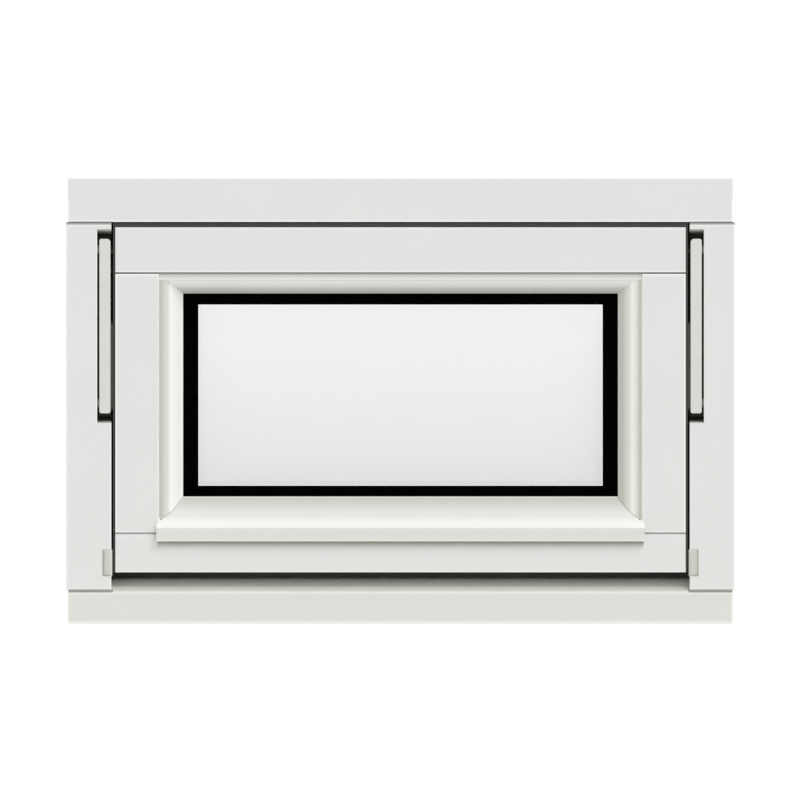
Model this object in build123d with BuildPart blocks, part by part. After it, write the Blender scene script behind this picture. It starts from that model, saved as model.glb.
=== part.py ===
from build123d import *
import os

# Pivot window in painted timber. The sash opens outwards on two side stays, and its
# top slides down two guide rails in the jambs. It is modelled closed.
# Millimetres, +Z up, outside towards -Y. The origin is the centre of the sill's underside.

os.makedirs("parts", exist_ok=True)

# Frame
FRAME_WIDTH = 598.0
FRAME_HEIGHT = 398.0
FRAME_DEPTH = 115.0
END_SETBACK = 1.9
HEAD_FACE = 38.9
JAMB_FACE = 40.3
SILL_FACE = 28.9
SILL_RISE = 12.0
SILL_FALL = 10.5
SILL_FALL_DEPTH = 26.0
SILL_STOP_HEIGHT = 57.0
STOP_PROJECTION = 13.0
ARRIS = 1.0
JOINT_GAP = 0.8
JOINT_DEPTH = 2.5
DRIP_GROOVE_WIDTH = 6.0
DRIP_GROOVE_DEPTH = 4.0
DRIP_GROOVE_INSET = 8.0

# Fixing holes through the jambs, for frame screws
FIXING_SPACING = 200.0
FIXING_RADIUS = 3.25
FIXING_CAP_RADIUS = 7.0
FIXING_CAP_DEPTH = 4.0
FIXING_INSET = 22.0

# Sash
SIDE_GAP = 3.0
TOP_GAP = 4.8
SASH_BOTTOM = 45.7
SASH_DEPTH = 56.0
SASH_SETBACK = 1.5
TOP_RAIL_FACE = 40.6
STILE_FACE = 39.5
BOTTOM_RAIL_FACE = 34.8
LIP_THICKNESS = 11.5
OVOLO = 6.5
SASH_ARRIS = 0.8

# Seal between the sash's back and the frame's stop
SEAL_GAP = 5.0
SEAL_WIDTH = 8.0
SEAL_CHAMFER = 1.5
SEAL_CLEARANCE = 0.5

# Weather seal round the sash's top and side edges
WEATHER_SEAL_SIDE = 1.4
WEATHER_SEAL_TOP = 3.9
WEATHER_SEAL_DEPTH = 3.0
WEATHER_SEAL_SETBACK = 1.5

# Glazing beads, with depths counted from the sash's outer face
SIDE_BEAD_WIDTH = 21.7
TOP_BEAD_WIDTH = 18.6
BOTTOM_BEAD_HEIGHT = 33.1
BEAD_DEPTH = 18.0
BEAD_EDGE = 1.0
BEAD_QUIRK_DEPTH = 2.5
BEAD_CROWN = 0.8
SIDE_BEAD_FLAT = 4.8
TOP_BEAD_FLAT = 6.2
TOP_BEAD_STEP = 1.6
TOP_BEAD_STEP_DEPTH = 3.0
NOSE_PROJECTION = 6.0
NOSE_DROP = 27.9
NOSE_HEIGHT = 12.3
NOSE_OVERLAP = 2.3
NOSE_ROUND = 1.6
NOSE_END_CUT = 3.0
NOSE_END_FALL = 4.5
SLOPE_HOLLOW = 0.8
NOSE_DRIP_RADIUS = 1.2

# Sealed glazing unit
PANE = 4.0
CAVITY = 16.0
GASKET = 1.2
TAPE_WIDTH = 12.0
GLASS_CLEARANCE = 5.0
BAND_SIDE = 13.7
BAND_TOP = 9.9
BAND_BOTTOM = 9.6
SETTING_BLOCK_LENGTH = 80.0
SETTING_BLOCK_SPACING = 260.0

# Guide rails in their pockets
POCKET_WIDTH = 12.7
POCKET_TOP = 352.7
POCKET_BOTTOM = 179.2
POCKET_DEPTH = 23.0
POCKET_RAMP = 6.0
POCKET_ARRIS = 0.8
RAIL_TOP = 344.0
RAIL_BOTTOM = 187.9
RAIL_WIDTH = 10.0
RAIL_DEPTH = 19.5
RAIL_SETBACK = 1.0
RAIL_WALL = 1.5
RAIL_PAD = 1.9
RAIL_PAD_RADIUS = 4.0
RAIL_CORNER = 1.8
RAIL_TOP_CORNER = 3.2
RAIL_ARRIS = 0.5
RAIL_SLOT_WIDTH = 6.0
RAIL_SLOT_BOTTOM = 212.0
RAIL_SLOT_TOP = 340.0

# Side stays: a fixed pivot on the rail, a pivot on the sash, and a roller in the rail
STAY_LENGTH = 68.5
STAY_PIVOT_HEIGHT = 196.0
STAY_WIDTH = 12.0
STAY_THICKNESS = 2.0
STAY_RAIL_GAP = 0.3
PIVOT_RADIUS = 2.5
PIVOT_CLEARANCE = 0.05
RIVET_HEAD_RADIUS = 4.5
RIVET_HEAD = 1.0
ROLLER_RADIUS = 7.6
ROLLER_WIDTH = 5.0
ROLLER_PIN_RADIUS = 2.0
BRACKET_THICKNESS = 2.0
BRACKET_WIDTH = 16.0
BRACKET_MARGIN = 10.0

# Guide blocks at the foot of the jambs
BLOCK_TOP = 66.0
BLOCK_BOTTOM = 42.3
BLOCK_WIDTH = 7.9
BLOCK_PROUD = 0.8
BLOCK_DEPTH = 14.0
BLOCK_BEVEL = 1.8
BLOCK_STEP = 1.2

# Handle on the room side of the bottom rail
HANDLE_HEIGHT = 80.0
ROSE_LENGTH = 66.0
ROSE_WIDTH = 27.0
ROSE_THICKNESS = 9.0
ROSE_BEVEL = 2.5
NECK_RADIUS = 7.5
NECK_LENGTH = 24.0
LEVER_LENGTH = 112.0
LEVER_HUB_RADIUS = 10.0
LEVER_TIP_RADIUS = 7.5
LEVER_THICKNESS = 10.0
LEVER_BEVEL = 3.0

# Faces across the depth
FRONT = -FRAME_DEPTH / 2
ROOM = FRAME_DEPTH / 2
SASH_FRONT = FRONT + SASH_SETBACK
SASH_BACK = SASH_FRONT + SASH_DEPTH
STOP = SASH_BACK + SEAL_GAP
SILL_BREAK_DEPTH = FRONT + SILL_FALL_DEPTH
LIP = SASH_BACK - LIP_THICKNESS
BEAD_BACK = SASH_FRONT + BEAD_DEPTH
BEAD_FLAT_FACE = SASH_FRONT + BEAD_QUIRK_DEPTH
GLASS_FRONT = BEAD_BACK + GASKET
CAVITY_FRONT = GLASS_FRONT + PANE
CAVITY_BACK = CAVITY_FRONT + CAVITY
GLASS_BACK = CAVITY_BACK + PANE
RAIL_FRONT = FRONT + RAIL_SETBACK
PIVOT_DEPTH = RAIL_FRONT + RAIL_DEPTH / 2

# Faces across the width, from the middle outwards
JAMB_OUTER = FRAME_WIDTH / 2
JAMB_INNER = JAMB_OUTER - JAMB_FACE
STOP_INNER = JAMB_INNER - STOP_PROJECTION
HEAD_HALF = JAMB_OUTER - END_SETBACK
SASH_HALF = JAMB_INNER - SIDE_GAP
STILE_INNER = SASH_HALF - STILE_FACE
SIGHT_HALF = STILE_INNER - SIDE_BEAD_WIDTH
GLASS_HALF = STILE_INNER - GLASS_CLEARANCE
RAIL_OUTER = JAMB_INNER + POCKET_WIDTH - RAIL_PAD
RAIL_INNER = RAIL_OUTER - RAIL_WIDTH

# Levels
HEAD_LOW = FRAME_HEIGHT - HEAD_FACE
HEAD_STOP_LOW = HEAD_LOW - STOP_PROJECTION
SILL_SLOPE_TOP = SILL_FACE + SILL_RISE
SILL_BREAK = SILL_FACE + SILL_FALL
SASH_TOP = HEAD_LOW - TOP_GAP
TOP_RAIL_LOW = SASH_TOP - TOP_RAIL_FACE
BOTTOM_RAIL_TOP = SASH_BOTTOM + BOTTOM_RAIL_FACE
SIGHT_TOP = TOP_RAIL_LOW - TOP_BEAD_WIDTH
SIGHT_LOW = BOTTOM_RAIL_TOP + BOTTOM_BEAD_HEIGHT
GLASS_TOP = TOP_RAIL_LOW - GLASS_CLEARANCE
GLASS_LOW = BOTTOM_RAIL_TOP + GLASS_CLEARANCE
SASH_PIVOT_HEIGHT = STAY_PIVOT_HEIGHT + STAY_LENGTH
ROLLER_HEIGHT = SASH_PIVOT_HEIGHT + STAY_LENGTH

SIDES = {"left": -1, "right": 1}


def upright(y):
    """Plane across the window at depth y, drawn as X and Z, facing the outside."""
    return Plane.XZ.offset(-y)


def sideways(x, side):
    """Plane at x on one side of the window, drawn as Y and Z, facing that side's jamb."""
    return Plane(origin=(side * x, 0, 0), x_dir=(0, side, 0), z_dir=(side, 0, 0))


def panel(half_width, low, high, mode=Mode.ADD):
    """Rectangle centred on the window between two levels."""
    with Locations((0, (low + high) / 2)):
        Rectangle(2 * half_width, high - low, mode=mode)


def outline(points):
    """Closed straight outline, filled."""
    Polygon(*points, align=None)


def bulge(start, end, height):
    """Point that stands to the right of the middle of the line from start to end."""
    along = Vector(*end) - Vector(*start)
    middle = (Vector(*start) + Vector(*end)) / 2
    return middle + Vector(along.Y, -along.X).normalized() * height


def soften(builder, radius):
    """Rounds the edges of the builder's outermost and innermost upright faces."""
    fillet(builder.faces().sort_by(Axis.Y)[0].edges(), radius)
    fillet(builder.faces().sort_by(Axis.Y)[-1].edges(), radius)


def finish(part, name):
    """Labels a finished piece and writes it to its own file."""
    part.label = name
    export_step(part, f"parts/{name}.step")


# Frame head, with the stop that the sash closes against
with BuildPart() as head:
    with BuildSketch(Plane.YZ):
        outline(
            [
                (FRONT, HEAD_LOW),
                (STOP, HEAD_LOW),
                (STOP, HEAD_STOP_LOW),
                (ROOM, HEAD_STOP_LOW),
                (ROOM, FRAME_HEIGHT),
                (FRONT, FRAME_HEIGHT),
            ]
        )
    extrude(amount=HEAD_HALF, both=True)
    soften(head, ARRIS)
finish(head.part, "frame_head")

# Sill, weathered in two falls, with an upstand behind the sash and a drip groove below
with BuildPart() as sill:
    with BuildSketch(Plane.YZ):
        outline(
            [
                (FRONT, 0),
                (ROOM, 0),
                (ROOM, SILL_STOP_HEIGHT),
                (STOP, SILL_STOP_HEIGHT),
                (STOP, SILL_SLOPE_TOP),
                (SILL_BREAK_DEPTH, SILL_BREAK),
                (FRONT, SILL_FACE),
            ]
        )
        with Locations((FRONT + DRIP_GROOVE_INSET, DRIP_GROOVE_DEPTH / 2)):
            Rectangle(DRIP_GROOVE_WIDTH, DRIP_GROOVE_DEPTH, mode=Mode.SUBTRACT)
    extrude(amount=HEAD_HALF, both=True)
    soften(sill, ARRIS)
finish(sill.part, "frame_sill")


def jamb(side):
    """One jamb: shouldered over the sill, pocketed for its rail, block and screws."""
    joint_back = FRONT + JOINT_DEPTH
    joint_low = SILL_FACE + SILL_FALL * JOINT_DEPTH / SILL_FALL_DEPTH
    with BuildPart() as post:
        with BuildSketch(sideways(JAMB_INNER, side)):
            outline(
                [
                    (side * FRONT, joint_low + JOINT_GAP),
                    (side * joint_back, joint_low + JOINT_GAP),
                    (side * joint_back, joint_low),
                    (side * SILL_BREAK_DEPTH, SILL_BREAK),
                    (side * STOP, SILL_SLOPE_TOP),
                    (side * STOP, SILL_STOP_HEIGHT),
                    (side * ROOM, SILL_STOP_HEIGHT),
                    (side * ROOM, HEAD_STOP_LOW),
                    (side * STOP, HEAD_STOP_LOW),
                    (side * STOP, HEAD_LOW),
                    (side * joint_back, HEAD_LOW),
                    (side * joint_back, HEAD_LOW - JOINT_GAP),
                    (side * FRONT, HEAD_LOW - JOINT_GAP),
                ]
            )
        extrude(amount=JAMB_FACE)
        with BuildSketch(sideways(STOP_INNER, side)):
            outline(
                [
                    (side * STOP, SILL_STOP_HEIGHT),
                    (side * ROOM, SILL_STOP_HEIGHT),
                    (side * ROOM, HEAD_STOP_LOW),
                    (side * STOP, HEAD_STOP_LOW),
                ]
            )
        extrude(amount=STOP_PROJECTION)
        soften(post, ARRIS)
        # Pocket for the guide rail, with ramped ends
        with BuildSketch(sideways(JAMB_INNER, side)):
            outline(
                [
                    (side * FRONT, POCKET_BOTTOM),
                    (side * (FRONT + POCKET_DEPTH), POCKET_BOTTOM + POCKET_RAMP),
                    (side * (FRONT + POCKET_DEPTH), POCKET_TOP - POCKET_RAMP),
                    (side * FRONT, POCKET_TOP),
                ]
            )
        extrude(amount=POCKET_WIDTH, mode=Mode.SUBTRACT)
        rim = post.faces().sort_by(Axis.Y)[0].edges().filter_by(Axis.Z)
        pocket_edge = rim.sort_by(lambda edge: abs(abs(edge.center().X) - JAMB_INNER - POCKET_WIDTH))[0]
        chamfer(pocket_edge, POCKET_ARRIS)
        # Recess for the guide block
        with BuildSketch(sideways(JAMB_INNER, side)):
            with Locations((side * (FRONT + BLOCK_DEPTH / 2), (BLOCK_TOP + BLOCK_BOTTOM) / 2)):
                Rectangle(BLOCK_DEPTH, BLOCK_TOP - BLOCK_BOTTOM)
        extrude(amount=BLOCK_WIDTH, mode=Mode.SUBTRACT)
        # Frame-screw holes, counterbored for cover caps
        middle = (side * STOP_INNER, ROOM - FIXING_INSET, FRAME_HEIGHT / 2)
        with Locations(Plane(origin=middle, x_dir=(0, 0, 1), z_dir=(-side, 0, 0))):
            with GridLocations(FIXING_SPACING, 1, 2, 1):
                CounterBoreHole(FIXING_RADIUS, FIXING_CAP_RADIUS, FIXING_CAP_DEPTH)
    return post.part


# Rubber seal in the rebate, squeezed between the sash and the stop
with BuildPart() as seal:
    with BuildSketch(upright(STOP)):
        seal_half = JAMB_INNER - SEAL_CLEARANCE
        seal_low = SILL_SLOPE_TOP + SEAL_CLEARANCE
        seal_high = HEAD_LOW - SEAL_CLEARANCE
        panel(seal_half, seal_low, seal_high)
        panel(seal_half - SEAL_WIDTH, seal_low + SEAL_WIDTH, seal_high - SEAL_WIDTH, Mode.SUBTRACT)
    extrude(amount=SEAL_GAP)
    chamfer(seal.faces().sort_by(Axis.Y)[0].inner_wires()[0].edges(), SEAL_CHAMFER)
finish(seal.part, "frame_seal")

# Weather seal glued to the sash's top and side edges, clear of the stays behind it
with BuildPart() as weather_seal:
    with BuildSketch(upright(SASH_FRONT + WEATHER_SEAL_SETBACK + WEATHER_SEAL_DEPTH)):
        panel(SASH_HALF + WEATHER_SEAL_SIDE, SASH_BOTTOM, SASH_TOP + WEATHER_SEAL_TOP)
        panel(SASH_HALF, SASH_BOTTOM, SASH_TOP, Mode.SUBTRACT)
    extrude(amount=WEATHER_SEAL_DEPTH)
finish(weather_seal.part, "sash_seal")


def sash_bracket(side):
    """One sash bracket: a plate let into the stile's edge, with the stay and roller pins."""
    plate_face = SASH_HALF
    shoulder = RAIL_INNER - STAY_RAIL_GAP - STAY_THICKNESS - plate_face
    with BuildPart() as bracket:
        with BuildSketch(sideways(plate_face - BRACKET_THICKNESS, side)):
            with Locations((side * PIVOT_DEPTH, (SASH_PIVOT_HEIGHT + ROLLER_HEIGHT) / 2)):
                SlotOverall(STAY_LENGTH + 2 * BRACKET_MARGIN, BRACKET_WIDTH, rotation=90)
        extrude(amount=BRACKET_THICKNESS)
        with BuildSketch(sideways(plate_face, side)):
            with Locations((side * PIVOT_DEPTH, SASH_PIVOT_HEIGHT)):
                Circle(RIVET_HEAD_RADIUS)
        extrude(amount=shoulder)
        with BuildSketch(sideways(plate_face + shoulder, side)):
            with Locations((side * PIVOT_DEPTH, SASH_PIVOT_HEIGHT)):
                Circle(PIVOT_RADIUS)
        extrude(amount=STAY_THICKNESS)
        with BuildSketch(sideways(plate_face, side)):
            with Locations((side * PIVOT_DEPTH, ROLLER_HEIGHT)):
                Circle(ROLLER_PIN_RADIUS)
        extrude(amount=RAIL_INNER + RAIL_WIDTH - RAIL_WALL - plate_face - STAY_RAIL_GAP)
    return bracket.part


brackets = {name: sash_bracket(side) for name, side in SIDES.items()}
for name, part in brackets.items():
    finish(part, f"{name}_sash_bracket")


def stile(side):
    """One sash stile: a front block, and the lip that the glass beds against."""
    with BuildPart() as post:
        with BuildSketch(Plane.XY.offset(BOTTOM_RAIL_TOP)):
            outline(
                [
                    (side * STILE_INNER, SASH_FRONT),
                    (side * SASH_HALF, SASH_FRONT),
                    (side * SASH_HALF, SASH_BACK),
                    (side * SIGHT_HALF, SASH_BACK),
                    (side * SIGHT_HALF, LIP),
                    (side * STILE_INNER, LIP),
                ]
            )
        extrude(amount=TOP_RAIL_LOW - BOTTOM_RAIL_TOP)
        with BuildSketch(upright(SASH_FRONT + JOINT_DEPTH)):
            panel(SASH_HALF, BOTTOM_RAIL_TOP, TOP_RAIL_LOW)
            panel(SASH_HALF, BOTTOM_RAIL_TOP + JOINT_GAP, TOP_RAIL_LOW - JOINT_GAP, Mode.SUBTRACT)
        extrude(amount=JOINT_DEPTH, mode=Mode.SUBTRACT)
        room_edges = post.faces().sort_by(Axis.Y)[-1].edges().filter_by(Axis.Z)
        fillet(room_edges.sort_by(lambda edge: abs(edge.center().X))[0], OVOLO)
        fillet(post.faces().sort_by(Axis.Y)[0].edges(), SASH_ARRIS)
        add(list(brackets.values()), mode=Mode.SUBTRACT)
    return post.part


stiles = {name: stile(side) for name, side in SIDES.items()}
for name, part in stiles.items():
    finish(part, f"{name}_stile")


def sash_rail(outer, inner, sight):
    """A horizontal sash rail, full width, with its lip scribed over the stiles' ovolos."""
    with BuildPart() as rail:
        with BuildSketch(Plane.YZ):
            outline([(LIP, sight), (SASH_BACK, sight), (SASH_BACK, inner), (LIP, inner)])
        extrude(amount=SIGHT_HALF + OVOLO, both=True)
        room_edges = rail.faces().sort_by(Axis.Y)[-1].edges().filter_by(Axis.X)
        fillet(room_edges.sort_by(lambda edge: abs(edge.center().Z - sight))[0], OVOLO)
        add([stiles["left"], stiles["right"]], mode=Mode.SUBTRACT)
        with BuildSketch(upright(SASH_BACK)):
            panel(SASH_HALF, min(outer, inner), max(outer, inner))
        extrude(amount=SASH_DEPTH)
        fillet(rail.faces().sort_by(Axis.Y)[0].edges(), SASH_ARRIS)
        add(list(brackets.values()), mode=Mode.SUBTRACT)
    return rail.part


finish(sash_rail(SASH_TOP, TOP_RAIL_LOW, SIGHT_TOP), "sash_top_rail")
finish(sash_rail(SASH_BOTTOM, BOTTOM_RAIL_TOP, SIGHT_LOW), "sash_bottom_rail")

# Top glazing bead: a flat, a small step and a crowned bevel down to the glass
with BuildPart() as top_bead:
    with BuildSketch(Plane.YZ):
        step_high = (BEAD_FLAT_FACE, TOP_RAIL_LOW - TOP_BEAD_FLAT)
        step_low = (BEAD_FLAT_FACE + TOP_BEAD_STEP_DEPTH, TOP_RAIL_LOW - TOP_BEAD_FLAT - TOP_BEAD_STEP)
        bevel_low = (BEAD_BACK - BEAD_EDGE, SIGHT_TOP)
        with BuildLine():
            Polyline(
                bevel_low,
                (BEAD_BACK, SIGHT_TOP),
                (BEAD_BACK, TOP_RAIL_LOW),
                (BEAD_FLAT_FACE, TOP_RAIL_LOW),
                step_high,
                step_low,
            )
            ThreePointArc(step_low, bulge(step_low, bevel_low, BEAD_CROWN), bevel_low)
        make_face()
    extrude(amount=STILE_INNER, both=True)
finish(top_bead.part, "top_glazing_bead")

# Bottom glazing bead: a hollowed slope to a nose that stands proud of the sash
with BuildPart() as bottom_bead:
    nose = SASH_FRONT - NOSE_PROJECTION
    nose_top = SIGHT_LOW - NOSE_DROP
    nose_low = nose_top - NOSE_HEIGHT
    nose_end = STILE_INNER + NOSE_OVERLAP
    slope_at_face = nose_top + NOSE_DROP * NOSE_PROJECTION / (NOSE_PROJECTION + BEAD_DEPTH)
    slope_high = (BEAD_BACK, SIGHT_LOW)
    slope_low = (nose, nose_top)
    with BuildSketch(Plane.YZ) as nose_profile:
        with BuildLine():
            Polyline(
                slope_low,
                (nose, nose_low),
                (SASH_FRONT, nose_low),
                (SASH_FRONT, BOTTOM_RAIL_TOP),
                (BEAD_BACK, BOTTOM_RAIL_TOP),
                slope_high,
            )
            ThreePointArc(slope_high, bulge(slope_high, slope_low, -SLOPE_HOLLOW), slope_low)
        make_face()
        fillet(nose_profile.vertices().sort_by(Axis.X)[:2], NOSE_ROUND)
        with Locations(((SASH_FRONT + nose) / 2, nose_low)):
            Circle(NOSE_DRIP_RADIUS, mode=Mode.SUBTRACT)
    extrude(amount=nose_end, both=True)
    with BuildSketch(upright(BEAD_BACK)):
        panel(nose_end, BOTTOM_RAIL_TOP, SIGHT_LOW)
        panel(STILE_INNER, BOTTOM_RAIL_TOP, SIGHT_LOW, Mode.SUBTRACT)
    extrude(amount=BEAD_BACK - SASH_FRONT, mode=Mode.SUBTRACT)
    # The nose's upper corners are clipped
    with BuildSketch(upright(SASH_FRONT)):
        for side in SIDES.values():
            outline(
                [
                    (side * (nose_end - NOSE_END_CUT), slope_at_face),
                    (side * nose_end, slope_at_face),
                    (side * nose_end, slope_at_face - NOSE_END_FALL),
                ]
            )
    extrude(amount=NOSE_PROJECTION, mode=Mode.SUBTRACT)
finish(bottom_bead.part, "bottom_glazing_bead")


def side_bead(side):
    """One side glazing bead: a flat and a crowned bevel, scribed to the other beads."""
    flat_end = (side * (STILE_INNER - SIDE_BEAD_FLAT), BEAD_FLAT_FACE)
    bevel_end = (side * SIGHT_HALF, BEAD_BACK - BEAD_EDGE)
    with BuildPart() as bead:
        with BuildSketch(Plane.XY.offset(BOTTOM_RAIL_TOP)):
            with BuildLine():
                Polyline(
                    bevel_end,
                    (side * SIGHT_HALF, BEAD_BACK),
                    (side * STILE_INNER, BEAD_BACK),
                    (side * STILE_INNER, BEAD_FLAT_FACE),
                    flat_end,
                )
                ThreePointArc(flat_end, bulge(flat_end, bevel_end, -side * BEAD_CROWN), bevel_end)
            make_face()
        extrude(amount=TOP_RAIL_LOW - BOTTOM_RAIL_TOP)
        add([top_bead.part, bottom_bead.part], mode=Mode.SUBTRACT)
    return bead.part


# Sealed unit: two panes, the black spacer between them, and what beds it in the sash
for name, back in (("outer_pane", CAVITY_FRONT), ("inner_pane", GLASS_BACK)):
    with BuildPart() as pane:
        with BuildSketch(upright(back)):
            panel(GLASS_HALF, GLASS_LOW, GLASS_TOP)
        extrude(amount=PANE)
    finish(pane.part, name)

band_half = SIGHT_HALF - BAND_SIDE
band_low = SIGHT_LOW + BAND_BOTTOM
band_high = SIGHT_TOP - BAND_TOP
for name, back, thickness in (
    ("glazing_gasket", GLASS_FRONT, GASKET),
    ("spacer_bar", CAVITY_BACK, CAVITY),
):
    with BuildPart() as band:
        with BuildSketch(upright(back)):
            panel(GLASS_HALF, GLASS_LOW, GLASS_TOP)
            panel(band_half, band_low, band_high, Mode.SUBTRACT)
        extrude(amount=thickness)
    finish(band.part, name)

with BuildPart() as tape:
    with BuildSketch(upright(LIP)):
        panel(GLASS_HALF, GLASS_LOW, GLASS_TOP)
        panel(GLASS_HALF - TAPE_WIDTH, SIGHT_LOW - GASKET, GLASS_TOP - TAPE_WIDTH, Mode.SUBTRACT)
    extrude(amount=LIP - GLASS_BACK)
finish(tape.part, "inner_glazing_tape")

with BuildPart() as setting_blocks:
    with BuildSketch(Plane.XY.offset(BOTTOM_RAIL_TOP)):
        with Locations((0, (GLASS_FRONT + GLASS_BACK) / 2)):
            with GridLocations(SETTING_BLOCK_SPACING, 1, 2, 1):
                Rectangle(SETTING_BLOCK_LENGTH, GLASS_BACK - GLASS_FRONT)
    extrude(amount=GLASS_CLEARANCE)
finish(setting_blocks.part, "setting_blocks")


def guide_rail(side):
    """One guide rail: a slotted channel on two pads, drilled for the stay's pivot."""
    cavity_depth = RAIL_DEPTH - 2 * RAIL_WALL
    cavity_width = RAIL_WIDTH - 2 * RAIL_WALL
    with BuildPart() as rail:
        with BuildSketch(sideways(RAIL_INNER, side)):
            with Locations((side * PIVOT_DEPTH, (RAIL_TOP + RAIL_BOTTOM) / 2)):
                Rectangle(RAIL_DEPTH, RAIL_TOP - RAIL_BOTTOM)
        extrude(amount=RAIL_WIDTH)
        corners = rail.edges().filter_by(Axis.Y).sort_by(lambda edge: edge.center().Z - abs(edge.center().X))
        fillet(corners[-1], RAIL_TOP_CORNER)
        fillet(corners[:-1], RAIL_CORNER)
        chamfer(rail.faces().sort_by(Axis.Y)[0].edges(), RAIL_ARRIS)
        with BuildSketch(sideways(RAIL_INNER + RAIL_WALL, side)):
            with Locations((side * PIVOT_DEPTH, (RAIL_TOP + RAIL_BOTTOM) / 2)):
                Rectangle(cavity_depth, RAIL_TOP - RAIL_BOTTOM - 2 * RAIL_WALL)
        extrude(amount=cavity_width, mode=Mode.SUBTRACT)
        with BuildSketch(sideways(RAIL_INNER, side)):
            with Locations((side * PIVOT_DEPTH, (RAIL_SLOT_TOP + RAIL_SLOT_BOTTOM) / 2)):
                SlotOverall(RAIL_SLOT_TOP - RAIL_SLOT_BOTTOM, RAIL_SLOT_WIDTH, rotation=90)
            with Locations((side * PIVOT_DEPTH, STAY_PIVOT_HEIGHT)):
                Circle(PIVOT_RADIUS + PIVOT_CLEARANCE)
        extrude(amount=RAIL_WALL, mode=Mode.SUBTRACT)
        with BuildSketch(sideways(RAIL_OUTER, side)):
            with Locations((side * PIVOT_DEPTH, (RAIL_TOP + RAIL_BOTTOM) / 2)):
                with GridLocations(1, 2 * STAY_LENGTH, 1, 2):
                    Circle(RAIL_PAD_RADIUS)
        extrude(amount=RAIL_PAD)
    return rail.part


def stay_arm(side):
    """One stay arm: a flat bar riveted through the rail's wall, bored for the sash pin."""
    inner_face = RAIL_INNER - STAY_RAIL_GAP - STAY_THICKNESS
    with BuildPart() as arm:
        with BuildSketch(sideways(inner_face, side)):
            with Locations((side * PIVOT_DEPTH, STAY_PIVOT_HEIGHT + STAY_LENGTH / 2)):
                SlotCenterToCenter(STAY_LENGTH, STAY_WIDTH, rotation=90)
            with Locations((side * PIVOT_DEPTH, SASH_PIVOT_HEIGHT)):
                Circle(PIVOT_RADIUS + PIVOT_CLEARANCE, mode=Mode.SUBTRACT)
        extrude(amount=STAY_THICKNESS)
        with BuildSketch(sideways(inner_face - RIVET_HEAD, side)):
            with Locations((side * PIVOT_DEPTH, STAY_PIVOT_HEIGHT)):
                Circle(RIVET_HEAD_RADIUS)
        extrude(amount=RIVET_HEAD)
        with BuildSketch(sideways(inner_face + STAY_THICKNESS, side)):
            with Locations((side * PIVOT_DEPTH, STAY_PIVOT_HEIGHT)):
                Circle(PIVOT_RADIUS)
        extrude(amount=STAY_RAIL_GAP + RAIL_WALL)
        with BuildSketch(sideways(RAIL_INNER + RAIL_WALL, side)):
            with Locations((side * PIVOT_DEPTH, STAY_PIVOT_HEIGHT)):
                Circle(RIVET_HEAD_RADIUS)
        extrude(amount=RIVET_HEAD)
    return arm.part


def guide_roller(side):
    """One guide roller, on the bracket's upper pin inside the rail."""
    with BuildPart() as roller:
        with BuildSketch(sideways(RAIL_INNER + RAIL_WALL + STAY_RAIL_GAP, side)):
            with Locations((side * PIVOT_DEPTH, ROLLER_HEIGHT)):
                Circle(ROLLER_RADIUS)
                Circle(ROLLER_PIN_RADIUS + PIVOT_CLEARANCE, mode=Mode.SUBTRACT)
        extrude(amount=ROLLER_WIDTH)
    return roller.part


def guide_block(side):
    """One guide block: let into the jamb, a little proud of its inner face, bevelled."""
    with BuildPart() as block:
        with BuildSketch(sideways(JAMB_INNER - BLOCK_PROUD, side)):
            outline(
                [
                    (side * (FRONT - BLOCK_STEP), BLOCK_BOTTOM),
                    (side * (FRONT + BLOCK_DEPTH), BLOCK_BOTTOM),
                    (side * (FRONT + BLOCK_DEPTH), BLOCK_TOP),
                    (side * (FRONT - BLOCK_STEP), BLOCK_TOP),
                ]
            )
        extrude(amount=BLOCK_WIDTH + BLOCK_PROUD)
        chamfer(block.faces().sort_by(Axis.Y)[0].edges(), BLOCK_BEVEL)
    return block.part


for name, side in SIDES.items():
    finish(jamb(side), f"{name}_jamb")
    finish(side_bead(side), f"{name}_glazing_bead")
    finish(guide_rail(side), f"{name}_guide_rail")
    finish(stay_arm(side), f"{name}_stay_arm")
    finish(guide_roller(side), f"{name}_guide_roller")
    finish(guide_block(side), f"{name}_guide_block")

# Handle rose and lever
with BuildPart() as rose:
    with BuildSketch(upright(SASH_BACK + ROSE_THICKNESS)):
        with Locations((0, HANDLE_HEIGHT)):
            SlotOverall(ROSE_LENGTH, ROSE_WIDTH)
    extrude(amount=ROSE_THICKNESS)
    chamfer(rose.faces().sort_by(Axis.Y)[-1].edges(), ROSE_BEVEL)
finish(rose.part, "handle_rose")

with BuildPart() as lever:
    neck_end = SASH_BACK + ROSE_THICKNESS + NECK_LENGTH
    with BuildSketch(upright(neck_end)):
        with Locations((0, HANDLE_HEIGHT)):
            Circle(NECK_RADIUS)
    extrude(amount=NECK_LENGTH)
    with BuildSketch(upright(neck_end + LEVER_THICKNESS)):
        with Locations((0, HANDLE_HEIGHT)):
            Circle(LEVER_HUB_RADIUS)
        with Locations((LEVER_LENGTH, HANDLE_HEIGHT)):
            Circle(LEVER_TIP_RADIUS)
        make_hull()
    extrude(amount=LEVER_THICKNESS)
    chamfer(lever.faces().sort_by(Axis.Y)[-1].edges(), LEVER_BEVEL)
finish(lever.part, "handle_lever")
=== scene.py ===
import logging
import math
from dataclasses import dataclass, field
from enum import Enum

import bmesh
import bpy
from mathutils import Matrix, Vector


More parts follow.
